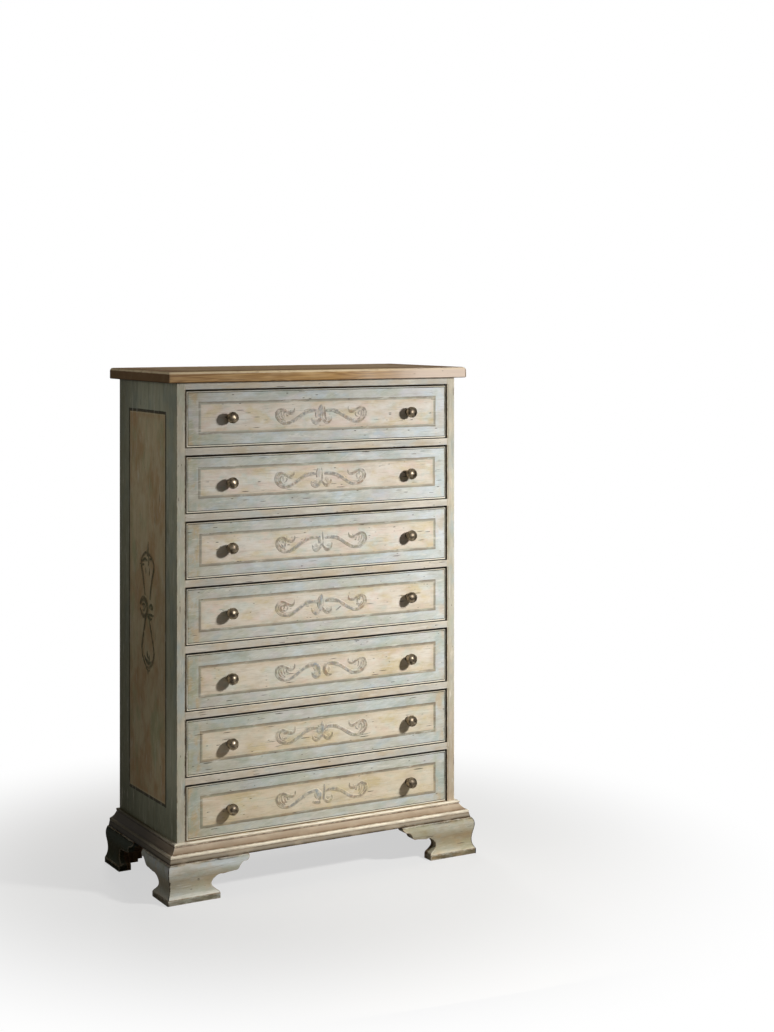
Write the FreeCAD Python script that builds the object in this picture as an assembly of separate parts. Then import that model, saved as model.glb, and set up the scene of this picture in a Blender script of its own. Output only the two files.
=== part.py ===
import FreeCAD
import Part
import os

# Seven-drawer chest (semainier) in painted wood, sizes in millimetres.
# Frame: +Z up, front faces -Y, +X to the right when facing the front.
# The origin is on the floor, at the middle of the chest's footprint.

# Case
case_width = 774.0
case_depth = 365.0
side_thickness = 22.0
drawer_count = 7
drawer_opening_height = 138.6
bottom_opening_height = 133.5
rail_thickness = 18.0
rail_depth = 60.0
top_rail_height = 17.0
bottom_board_thickness = 18.0
bottom_rail_depth = 24.0
back_rail_depth = 40.0
back_panel_thickness = 6.0
back_rebate_width = 10.0
arris_radius = 1.2

# Stub tenons on the cross members, in stopped mortises in the sides
tenon_length = 8.0
tenon_shoulder_height = 4.0
tenon_shoulder_depth = 8.0
mortise_clearance = 0.1

# Top board
top_thickness = 27.4
top_side_overhang = 27.0
top_front_overhang = 15.0
top_upper_round = 8.0
top_lower_round = 3.0

# Base moulding, from the bottom of the case up
foot_height = 92.0
base_moulding_height = 40.5
fascia_height = 13.0
fascia_bottom_projection = 30.3
fascia_top_projection = 27.0
lip_height = 6.0
lip_crest_height = 4.2
lip_setback = 3.5
cove_hollow = 2.6
bead_height = 5.6
bead_projection = 10.2
bead_roundness = 2.0

# Ogee face of the bracket feet
foot_top_projection = 32.0
belly_projection = 38.2
belly_height = 75.0
waist_projection = 32.4
waist_height = 40.0
toe_projection = 40.4
toe_height = 12.6
bracket_back_projection = 8.0

# Cut-out outline of a bracket, measured from its wing tip. The fullness of a curve is how far it
# bows out, and flare_run and flare_fall say where the throat's curve turns out into the toe, each
# as a share of the curve's own width and height.
front_bracket_reach = 174.0
side_bracket_reach = 132.0
rear_bracket_reach = 176.0
wing_tip_drop = 3.0
wing_round_width = 15.0
wing_round_drop = 14.0
wing_step_width = 27.0
wing_step_drop = 26.0
lobe_width = 40.0
lobe_drop = 33.5
throat_start_width = 70.0
throat_start_drop = 37.0
throat_width = 98.5
throat_height = 35.0
toe_end_width = 79.0
toe_nose_height = 20.0
toe_nose_width = 2.0
toe_nose_drop = 3.0
curve_fullness = 0.72
hollow_fullness = 0.61
flare_run = 0.55
flare_fall = 0.88

# Rear boards and glue blocks of the feet
rear_board_thickness = 18.0
rear_board_top_reach = 118.0
rear_board_toe_reach = 54.0
glue_block_size = 36.0
glue_block_floor_gap = 4.0

# Drawer fronts
front_thickness = 20.0
front_inset = 1.5
front_side_gap = 3.0
front_top_gap = 3.0
front_bottom_gap = 2.0
bead_groove_offset = 3.2
bead_groove_width = 1.4
bead_groove_depth = 0.8
front_arris_radius = 1.0

# Drawer boxes; the rear space is the depth of the case left free behind them, back panel included
drawer_rear_space = 23.5
drawer_side_thickness = 12.0
drawer_side_top_gap = 4.0
drawer_back_thickness = 12.0
drawer_back_drop = 8.0
drawer_bottom_thickness = 5.0
bottom_groove_height = 10.0
bottom_groove_depth = 6.0
panel_clearance = 0.2
runner_clearance = 0.3
tail_count = 3
tail_length = 13.0
tail_slope = 2.5
pin_width = 10.0

# Runners and stops
runner_width = 20.0
stop_length = 40.0
stop_depth = 24.0
stop_height = 6.0
stop_inset = 90.0
stop_clearance = 0.3

# Knobs and their screws
knob_radius = 14.0
knob_centre_projection = 19.0
knob_edge_distance = 113.0
knob_drop = 65.0
rose_radius = 8.5
rose_thickness = 2.0
neck_radius = 5.2
neck_waist_radius = 4.4
screw_radius = 1.9
screw_head_radius = 4.2
screw_head_height = 2.4
screw_slot_width = 1.2
screw_slot_depth = 1.2
screw_engagement = 13.0
knob_socket_radius = 2.0
screw_hole_radius = 2.2
screw_tip_gap = 1.0

# Levels and planes that the pieces share
inner_half_width = case_width / 2 - side_thickness
case_front = (toe_projection - case_depth) / 2
case_back = case_front + case_depth
panel_front = case_back - back_panel_thickness
base_top = foot_height + base_moulding_height
bottom_board_base = base_top - bottom_board_thickness
drawer_pitch = drawer_opening_height + rail_thickness
case_top = (base_top + bottom_opening_height + (drawer_count - 1) * drawer_pitch + top_rail_height)
front_half_width = inner_half_width - front_side_gap
front_face = case_front + front_inset
front_rear_face = front_face + front_thickness
drawer_rear_face = case_back - drawer_rear_space


def vec(x, y, z):
    return FreeCAD.Vector(x, y, z)


def box(x0, x1, y0, y1, z0, z1):
    return Part.makeBox(x1 - x0, y1 - y0, z1 - z0, vec(x0, y0, z0))


def mirrored(shape):
    return shape.mirror(vec(0, 0, 0), vec(1, 0, 0))


def save(node, *solids):
    shape = solids[0] if len(solids) == 1 else Part.makeCompound(list(solids))
    shape.exportStep("parts/" + node + ".step")


def face_of(edges):
    return Part.Face(Part.Wire(edges))


def line(a, b):
    return Part.LineSegment(a, b).toShape()


def arc(a, middle, b):
    return Part.Arc(a, middle, b).toShape()


def spline(points):
    curve = Part.BSplineCurve()
    curve.interpolate(points)
    return curve.toShape()


def edges_where(shape, test):
    return [edge for edge in shape.Edges if test(edge)]


def at(edge, axis, value):
    bounds = edge.BoundBox
    low = getattr(bounds, axis + "Min")
    high = getattr(bounds, axis + "Max")
    return abs(low - value) < 0.01 and abs(high - value) < 0.01


# Levels of one drawer opening, counted from drawer 1 at the top

def opening_height(number):
    return bottom_opening_height if number == drawer_count else drawer_opening_height


def opening_bottom(number):
    if number == drawer_count:
        return base_top
    above_lowest = drawer_count - 1 - number
    return base_top + bottom_opening_height + rail_thickness + above_lowest * drawer_pitch


def opening_top(number):
    return opening_bottom(number) + opening_height(number)


# Boards of the case

def cross_member(y0, y1, z0, z1):
    board = box(-inner_half_width, inner_half_width, y0, y1, z0, z1)
    tenons = tenon_pair(y0, y1, z0, z1, 0.0)
    return board.fuse(tenons).removeSplitter()


def tenon_pair(y0, y1, z0, z1, clearance):
    reach = inner_half_width + tenon_length + clearance
    tenon_y0 = y0 + tenon_shoulder_depth - clearance
    tenon_y1 = y1 - tenon_shoulder_depth + clearance
    tenon_z0 = z0 + tenon_shoulder_height - clearance
    tenon_z1 = z1 - tenon_shoulder_height + clearance
    return box(-reach, reach, tenon_y0, tenon_y1, tenon_z0, tenon_z1)


def rounded_front(board, z0, z1, y_front):
    def is_arris(edge):
        return at(edge, "Y", y_front) and (at(edge, "Z", z0) or at(edge, "Z", z1))
    return board.makeFillet(arris_radius, edges_where(board, is_arris))


def rail_span(number):
    top = opening_bottom(number)
    return (case_front, case_front + rail_depth, top - rail_thickness, top)


def top_rail_span():
    return (case_front, case_front + rail_depth, opening_top(1), case_top)


def back_rail_span():
    return (panel_front - back_rail_depth, panel_front, opening_top(1), case_top)


def bottom_board_span():
    return (case_front, panel_front, bottom_board_base, base_top)


def bottom_rail_span():
    return (case_front, case_front + bottom_rail_depth, foot_height, bottom_board_base)


def member_spans():
    spans = [top_rail_span(), back_rail_span(), bottom_board_span(), bottom_rail_span()]
    spans += [rail_span(number) for number in range(1, drawer_count)]
    return spans


def divider_rail(number):
    y0, y1, z0, z1 = rail_span(number)
    return rounded_front(cross_member(y0, y1, z0, z1), z0, z1, y0)


def left_side_board():
    outer = -case_width / 2
    board = box(outer, -inner_half_width, case_front, case_back, foot_height, case_top)
    rebate = box(-inner_half_width - back_rebate_width, -inner_half_width,
                 panel_front, case_back, foot_height, case_top)
    board = board.cut(rebate)
    for y0, y1, z0, z1 in member_spans():
        board = board.cut(tenon_pair(y0, y1, z0, z1, mortise_clearance))

    def is_front_arris(edge):
        return at(edge, "X", outer) and at(edge, "Y", case_front)
    return board.makeFillet(arris_radius, edges_where(board, is_front_arris))


def back_panel():
    half = inner_half_width + back_rebate_width - panel_clearance
    return box(-half, half, panel_front, case_back, foot_height, case_top)


def left_runner_strips():
    strips = []
    y0 = case_front + rail_depth
    x1 = -inner_half_width + runner_width
    for number in range(1, drawer_count):
        top = opening_bottom(number)
        strips.append(box(-inner_half_width, x1, y0, panel_front, top - rail_thickness, top))
    kicker_back = panel_front - back_rail_depth
    strips.append(box(-inner_half_width, x1, y0, kicker_back, opening_top(1), case_top))
    return strips


def drawer_stop_blocks():
    blocks = []
    y0 = front_rear_face + stop_clearance
    centre = inner_half_width - stop_inset
    for number in range(1, drawer_count + 1):
        z0 = opening_bottom(number)
        for x in (-centre, centre):
            blocks.append(box(x - stop_length / 2, x + stop_length / 2,
                              y0, y0 + stop_depth, z0, z0 + stop_height))
    return blocks


def top_board():
    half = case_width / 2 + top_side_overhang
    front = case_front - top_front_overhang
    total = case_top + top_thickness
    board = box(-half, half, front, case_back, case_top, total)

    def outer(edge):
        return at(edge, "X", half) or at(edge, "X", -half) or at(edge, "Y", front)
    upper = edges_where(board, lambda edge: at(edge, "Z", total) and outer(edge))
    board = board.makeFillet(top_upper_round, upper)
    lower = edges_where(board, lambda edge: at(edge, "Z", case_top) and outer(edge))
    return board.makeFillet(top_lower_round, lower)


# Base moulding and feet: one section, run round the case and mitred at the front corners

def section_point(projection, height):
    return vec(0, case_front - projection, height)


def moulding_section():
    fascia_top = foot_height + fascia_height
    cove_start_height = fascia_top + lip_height
    bead_base = base_top - bead_height
    inner_projection = bead_projection - bead_roundness
    lip_end = fascia_top_projection - lip_setback
    back_bottom = section_point(0, foot_height)
    fascia_foot = section_point(fascia_bottom_projection, foot_height)
    fascia_head = section_point(fascia_top_projection, fascia_top)
    lip_bulge = section_point(fascia_top_projection, fascia_top + lip_crest_height)
    cove_start = section_point(lip_end, cove_start_height)
    cove_middle = section_point((lip_end + inner_projection) / 2 - cove_hollow / 2,
                                (cove_start_height + bead_base) / 2 - cove_hollow / 2)
    cove_end = section_point(inner_projection, bead_base)
    bead_middle = section_point(bead_projection, bead_base + bead_height / 2)
    bead_top = section_point(inner_projection, base_top)
    back_top = section_point(0, base_top)
    return face_of([
        line(back_bottom, fascia_foot),
        line(fascia_foot, fascia_head),
        arc(fascia_head, lip_bulge, cove_start),
        arc(cove_start, cove_middle, cove_end),
        arc(cove_end, bead_middle, bead_top),
        line(bead_top, back_top),
        line(back_top, back_bottom)])


def ogee_section():
    middle_projection = (belly_projection + waist_projection) / 2
    middle_height = (belly_height + waist_height) / 2
    back_bottom = section_point(bracket_back_projection, 0)
    back_top = section_point(bracket_back_projection, foot_height)
    toe_foot = section_point(toe_projection, 0)
    toe_head = section_point(toe_projection, toe_height)
    face_top = section_point(foot_top_projection, foot_height)
    ogee = spline([
        toe_head,
        section_point(waist_projection, waist_height),
        section_point(middle_projection, middle_height),
        section_point(belly_projection, belly_height),
        face_top])
    return face_of([
        line(back_bottom, toe_foot),
        line(toe_foot, toe_head),
        ogee,
        line(face_top, back_top),
        line(back_top, back_bottom)])


def front_run(section, x0, x1):
    length = x1 - x0
    run = section.extrude(vec(length, 0, 0))
    run.translate(vec(x0, 0, 0))
    return run


def side_run(section, y0, y1):
    # The front section swung round to face -X, with the case's left face as its back
    turned = section.copy()
    turned.translate(vec(0, -case_front, 0))
    turned.rotate(vec(0, 0, 0), vec(0, 0, 1), -90)
    run = turned.extrude(vec(0, y1 - y0, 0))
    run.translate(vec(-case_width / 2, y0, 0))
    return run


def mitre_wedge(front_side):
    # Everything on one side of the vertical plane that halves the front left corner
    corner_x = -case_width / 2
    reach = 2 * case_width
    near = vec(corner_x - reach, case_front - reach, 0)
    far = vec(corner_x + reach, case_front + reach, 0)
    if front_side:
        third = vec(corner_x + reach, case_front - reach, 0)
    else:
        third = vec(corner_x - reach, case_front + reach, 0)
    triangle = face_of([line(near, far), line(far, third), line(third, near)])
    return triangle.extrude(vec(0, 0, base_top))


def front_moulding():
    half = case_width / 2 + fascia_bottom_projection
    run = front_run(moulding_section(), -half, half)
    wedge = mitre_wedge(True)
    return run.common(wedge).common(mirrored(wedge))


def left_moulding():
    run = side_run(moulding_section(), case_front - fascia_bottom_projection, case_back)
    return run.common(mitre_wedge(False))


def bracket_outline(reach):
    # Elevation of a bracket in (distance from the case corner, height), from the wing tip to the toe
    top = foot_height
    tip_top = (reach, top)
    tip_low = (reach, top - wing_tip_drop)
    round_end = (reach - wing_round_width, top - wing_round_drop)
    step_end = (reach - wing_step_width, top - wing_step_drop)
    lobe_end = (reach - lobe_width, top - lobe_drop)
    throat_start = (reach - throat_start_width, top - throat_start_drop)
    throat = (reach - throat_width, throat_height)
    toe_end = reach - toe_end_width

    def between(a, b, along, up):
        return (a[0] + (b[0] - a[0]) * along, a[1] + (b[1] - a[1]) * up)
    flare = between(throat, (toe_end, toe_nose_height), flare_run, flare_fall)
    return {
        "tip_top": tip_top,
        "tip_low": tip_low,
        "tip_bulge": between(tip_low, round_end, 1 - curve_fullness, curve_fullness),
        "round_end": round_end,
        "step_hollow": between(round_end, step_end, hollow_fullness, 1 - hollow_fullness),
        "step_end": step_end,
        "lobe_bulge": between(step_end, lobe_end, 1 - curve_fullness, curve_fullness),
        "lobe_end": lobe_end,
        "throat_start": throat_start,
        "throat_upper": between(throat_start, throat, curve_fullness, 1 - curve_fullness),
        "throat": throat,
        "flare": flare,
        "nose_top": (toe_end - toe_nose_width, toe_nose_height - toe_nose_drop),
        "nose_side": (toe_end, toe_height),
        "toe_foot": (toe_end, 0)}


def outline_prism(reach, place, depth_direction):
    # Solid that keeps what is above the cut-out, between the far end of the foot and the wing tip
    p = {name: place(*point) for name, point in bracket_outline(reach).items()}
    far_top = place(-toe_projection, foot_height)
    far_foot = place(-toe_projection, 0)
    edges = [
        line(far_top, p["tip_top"]),
        line(p["tip_top"], p["tip_low"]),
        arc(p["tip_low"], p["tip_bulge"], p["round_end"]),
        arc(p["round_end"], p["step_hollow"], p["step_end"]),
        arc(p["step_end"], p["lobe_bulge"], p["lobe_end"]),
        line(p["lobe_end"], p["throat_start"]),
        spline([p["throat_start"], p["throat_upper"], p["throat"], p["flare"], p["nose_top"]]),
        line(p["nose_top"], p["nose_side"]),
        line(p["nose_side"], p["toe_foot"]),
        line(p["toe_foot"], far_foot),
        line(far_foot, far_top)]
    return face_of(edges).extrude(depth_direction)


def front_bracket():
    corner = -case_width / 2
    run = front_run(ogee_section(), corner - toe_projection, corner + front_bracket_reach)

    def place(distance, height):
        return vec(corner + distance, case_front - toe_projection, height)
    prism = outline_prism(front_bracket_reach, place, vec(0, toe_projection, 0))
    return run.common(prism).common(mitre_wedge(True))


def side_bracket():
    corner = -case_width / 2
    run = side_run(ogee_section(), case_front - toe_projection, case_front + side_bracket_reach)

    def place(distance, height):
        return vec(corner - toe_projection, case_front + distance, height)
    prism = outline_prism(side_bracket_reach, place, vec(toe_projection, 0, 0))
    return run.common(prism).common(mitre_wedge(False))


def rear_side_bracket():
    corner = -case_width / 2
    run = side_run(ogee_section(), case_back - rear_bracket_reach, case_back)

    def place(distance, height):
        return vec(corner - toe_projection, case_back - distance, height)
    prism = outline_prism(rear_bracket_reach, place, vec(toe_projection, 0, 0))
    return run.common(prism)


def rear_board():
    start = -case_width / 2 - bracket_back_projection
    y0 = case_back - rear_board_thickness
    corners = [
        vec(start, y0, 0),
        vec(-case_width / 2 + rear_board_toe_reach, y0, 0),
        vec(-case_width / 2 + rear_board_toe_reach, y0, toe_height),
        vec(-case_width / 2 + rear_board_top_reach, y0, foot_height - wing_tip_drop),
        vec(-case_width / 2 + rear_board_top_reach, y0, foot_height),
        vec(start, y0, foot_height)]
    outline = Part.Face(Part.makePolygon(corners + corners[:1]))
    return outline.extrude(vec(0, rear_board_thickness, 0))


def left_glue_blocks():
    x0 = -case_width / 2 - bracket_back_projection
    front_y0 = case_front - bracket_back_projection
    rear_y1 = case_back - rear_board_thickness
    front_block = box(x0, x0 + glue_block_size, front_y0, front_y0 + glue_block_size,
                      glue_block_floor_gap, foot_height)
    rear_block = box(x0, x0 + glue_block_size, rear_y1 - glue_block_size, rear_y1,
                     glue_block_floor_gap, foot_height)
    return [front_block, rear_block]


# Drawers

def side_top(number):
    return opening_top(number) - drawer_side_top_gap


def side_base(number):
    return opening_bottom(number) + runner_clearance


def tail_outlines(number, clearance):
    # Dovetails on the front end of a drawer side: (y, z) corners, widest at the blind end
    z0 = side_base(number)
    pitch = (side_top(number) - z0) / tail_count
    root = front_rear_face
    tip = front_rear_face - tail_length - clearance
    outlines = []
    for index in range(tail_count):
        low = z0 + index * pitch + pin_width / 2 - clearance
        high = z0 + (index + 1) * pitch - pin_width / 2 + clearance
        outlines.append([(root, low + tail_slope), (tip, low), (tip, high), (root, high - tail_slope)])
    return outlines


def tails(number, x0, x1, clearance):
    solids = []
    for outline in tail_outlines(number, clearance):
        corners = [vec(x0, y, z) for y, z in outline]
        face = Part.Face(Part.makePolygon(corners + corners[:1]))
        solids.append(face.extrude(vec(x1 - x0, 0, 0)))
    return solids


def bottom_panel(number, clearance):
    # The loose bottom, let into grooves in the front and sides and running under the back
    half = front_half_width - drawer_side_thickness + bottom_groove_depth
    base = side_base(number) + bottom_groove_height
    return box(-half + clearance, half - clearance,
               front_rear_face - bottom_groove_depth + clearance, drawer_rear_face,
               base + clearance, base + drawer_bottom_thickness - clearance)


def drawer_front(number):
    z0 = opening_bottom(number) + front_bottom_gap
    z1 = opening_top(number) - front_top_gap
    board = box(-front_half_width, front_half_width, front_face, front_rear_face, z0, z1)
    board = board.makeFillet(front_arris_radius,
                             edges_where(board, lambda edge: at(edge, "Y", front_face)))
    board = board.cut(bead_groove(z0, z1))
    board = board.cut(bottom_panel(number, 0.0))
    inner = front_half_width - drawer_side_thickness - mortise_clearance
    for socket in tails(number, -front_half_width, -inner, mortise_clearance):
        board = board.cut(socket)
        board = board.cut(mirrored(socket))
    for x in knob_positions():
        board = board.cut(bore(x, knob_height(number), screw_hole_radius))
    return board


def bead_groove(z0, z1):
    outer_half = front_half_width - bead_groove_offset
    inner_half = outer_half - bead_groove_width
    low = z0 + bead_groove_offset
    high = z1 - bead_groove_offset
    deep = front_face + bead_groove_depth
    outer = box(-outer_half, outer_half, front_face, deep, low, high)
    inner = box(-inner_half, inner_half, front_face, deep,
                low + bead_groove_width, high - bead_groove_width)
    return outer.cut(inner)


def drawer_side(number):
    x0 = -front_half_width
    x1 = x0 + drawer_side_thickness
    board = box(x0, x1, front_rear_face, drawer_rear_face, side_base(number), side_top(number))
    for tail in tails(number, x0, x1, 0.0):
        board = board.fuse(tail)
    return board.removeSplitter().cut(bottom_panel(number, 0.0))


def drawer_back(number):
    half = front_half_width - drawer_side_thickness
    z0 = side_base(number) + bottom_groove_height + drawer_bottom_thickness
    return box(-half, half, drawer_rear_face - drawer_back_thickness, drawer_rear_face,
               z0, side_top(number) - drawer_back_drop)


def knob_positions():
    return (-front_half_width + knob_edge_distance, front_half_width - knob_edge_distance)


def knob_height(number):
    return opening_top(number) - front_top_gap - knob_drop


def bore(x, z, radius):
    return Part.makeCylinder(radius, front_thickness, vec(x, front_face, z), vec(0, 1, 0))


def knob(x, z):
    # Turned ball on a waisted neck and a thin rose, with a blind threaded socket at the back
    def out(radius, distance):
        return vec(x + radius, front_face - distance, z)
    ball_start = knob_centre_projection - (knob_radius ** 2 - neck_radius ** 2) ** 0.5
    ball_side = knob_radius * 0.5 ** 0.5
    section = face_of([
        line(out(0, 0), out(rose_radius, 0)),
        line(out(rose_radius, 0), out(rose_radius, rose_thickness)),
        arc(out(rose_radius, rose_thickness),
            out(neck_waist_radius, (rose_thickness + ball_start) / 2),
            out(neck_radius, ball_start)),
        arc(out(neck_radius, ball_start),
            out(ball_side, knob_centre_projection + ball_side),
            out(0, knob_centre_projection + knob_radius)),
        line(out(0, knob_centre_projection + knob_radius), out(0, 0))])
    solid = section.revolve(vec(x, front_face, z), vec(0, 1, 0), 360)
    socket = Part.makeCylinder(knob_socket_radius, screw_engagement + screw_tip_gap,
                               vec(x, front_face, z), vec(0, -1, 0))
    return solid.cut(socket)


def knob_screw(x, z):
    length = front_thickness + screw_engagement
    shank = Part.makeCylinder(screw_radius, length, vec(x, front_rear_face, z), vec(0, -1, 0))
    head = Part.makeCylinder(screw_head_radius, screw_head_height, vec(x, front_rear_face, z), vec(0, 1, 0))
    slot = box(x - screw_head_radius, x + screw_head_radius,
               front_rear_face + screw_head_height - screw_slot_depth, front_rear_face + screw_head_height,
               z - screw_slot_width / 2, z + screw_slot_width / 2)
    return shank.fuse(head).cut(slot)


def save_case():
    save("top_board", top_board())
    left_side = left_side_board()
    save("left_side", left_side)
    save("right_side", mirrored(left_side))
    save("back_panel", back_panel())
    save("bottom_board", cross_member(*bottom_board_span()))
    save("bottom_rail", cross_member(*bottom_rail_span()))
    save("top_rail", cross_member(*top_rail_span()))
    save("top_back_rail", cross_member(*back_rail_span()))
    for number in range(1, drawer_count):
        save("divider_rail_%d" % number, divider_rail(number))
    strips = left_runner_strips()
    save("left_runners", *strips)
    save("right_runners", *[mirrored(strip) for strip in strips])
    save("drawer_stops", *drawer_stop_blocks())


def save_base():
    save("front_base_moulding", front_moulding())
    moulding = left_moulding()
    save("left_base_moulding", moulding)
    save("right_base_moulding", mirrored(moulding))
    front_foot = [front_bracket(), side_bracket()]
    rear_foot = [rear_side_bracket(), rear_board()]
    save("front_left_foot", *front_foot)
    save("front_right_foot", *[mirrored(piece) for piece in front_foot])
    save("rear_left_foot", *rear_foot)
    save("rear_right_foot", *[mirrored(piece) for piece in rear_foot])
    blocks = left_glue_blocks()
    save("foot_glue_blocks", *(blocks + [mirrored(block) for block in blocks]))


def save_drawer(number):
    name = "drawer_%d_" % number
    side = drawer_side(number)
    save(name + "front", drawer_front(number))
    save(name + "sides", side, mirrored(side))
    save(name + "back", drawer_back(number))
    save(name + "bottom", bottom_panel(number, panel_clearance))
    height = knob_height(number)
    knobs = [knob(x, height) for x in knob_positions()]
    screws = [knob_screw(x, height) for x in knob_positions()]
    save(name + "knobs", *(knobs + screws))


os.makedirs("parts", exist_ok=True)
save_case()
save_base()
for drawer_number in range(1, drawer_count + 1):
    save_drawer(drawer_number)
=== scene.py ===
import math
import random

import bmesh
import bpy
from mathutils import Matrix, Vector, noise
from mathutils.kdtree import KDTree


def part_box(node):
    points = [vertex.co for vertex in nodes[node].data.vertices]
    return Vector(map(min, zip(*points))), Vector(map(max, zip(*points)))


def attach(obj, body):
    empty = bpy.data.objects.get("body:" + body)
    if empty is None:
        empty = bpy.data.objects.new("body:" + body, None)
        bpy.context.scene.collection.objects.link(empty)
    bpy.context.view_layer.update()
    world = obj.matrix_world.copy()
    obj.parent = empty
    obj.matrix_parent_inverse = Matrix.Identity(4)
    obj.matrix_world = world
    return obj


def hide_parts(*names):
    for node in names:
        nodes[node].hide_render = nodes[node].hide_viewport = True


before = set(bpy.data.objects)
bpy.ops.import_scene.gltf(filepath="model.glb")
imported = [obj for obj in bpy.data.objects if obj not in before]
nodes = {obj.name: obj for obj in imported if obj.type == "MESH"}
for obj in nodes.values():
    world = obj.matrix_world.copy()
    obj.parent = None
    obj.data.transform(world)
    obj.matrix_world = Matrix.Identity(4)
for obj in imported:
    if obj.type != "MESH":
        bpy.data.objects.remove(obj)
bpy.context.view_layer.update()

mm = 0.001
drawerNumbers = range(1, 8)


# Colours are written as red, green and blue from 0 to 255, and fed to the nodes as shares of the light
def linear(colour):
    shares = [value / 255 for value in colour]
    return [share / 12.92 if share <= 0.04045 else ((share + 0.055) / 1.055) ** 2.4 for share in shares]


# A measure that differs from place to place, worked with as if it were a number
class Measure:
    def __init__(self, tree, socket):
        self.tree = tree
        self.socket = socket

    def __add__(self, other):
        return self.tree.calc("ADD", self, other)

    def __sub__(self, other):
        return self.tree.calc("SUBTRACT", self, other)

    def __rsub__(self, other):
        return self.tree.calc("SUBTRACT", other, self)

    def __mul__(self, other):
        return self.tree.calc("MULTIPLY", self, other)

    def __abs__(self):
        return self.tree.calc("ABSOLUTE", self)


# Short names for the nodes that the finishes and the world are made of
class NodeTree:
    def __init__(self, tree):
        self.tree = tree

    def feed(self, socket, value):
        if isinstance(value, Measure):
            value = value.socket
        if isinstance(value, bpy.types.NodeSocket):
            self.tree.links.new(value, socket)
        elif socket.type == "RGBA":
            socket.default_value = (*linear(value), 1.0)
        else:
            socket.default_value = value

    def node(self, kind, inputs, **settings):
        made = self.tree.nodes.new("ShaderNode" + kind)
        for key, value in settings.items():
            setattr(made, key, value)
        for key, value in inputs.items():
            self.feed(made.inputs[key], value)
        return made

    def calc(self, operation, *values):
        made = self.node("Math", dict(enumerate(values)), operation=operation)
        return Measure(self, made.outputs[0])

    def vectorCalc(self, operation, *values):
        return self.node("VectorMath", dict(enumerate(values)), operation=operation).outputs[0]

    def larger(self, first, second):
        return self.calc("MAXIMUM", first, second)

    def smaller(self, first, second):
        return self.calc("MINIMUM", first, second)

    def rays(self):
        return self.node("LightPath", {}).outputs

    # 1 for what the camera sees itself, a share for what it sees in a reflection
    def seen(self, glossyShare):
        rays = self.rays()
        mirrored = self.calc("MULTIPLY", rays["Is Glossy Ray"], glossyShare)
        return self.larger(rays["Is Camera Ray"], mirrored)


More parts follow.
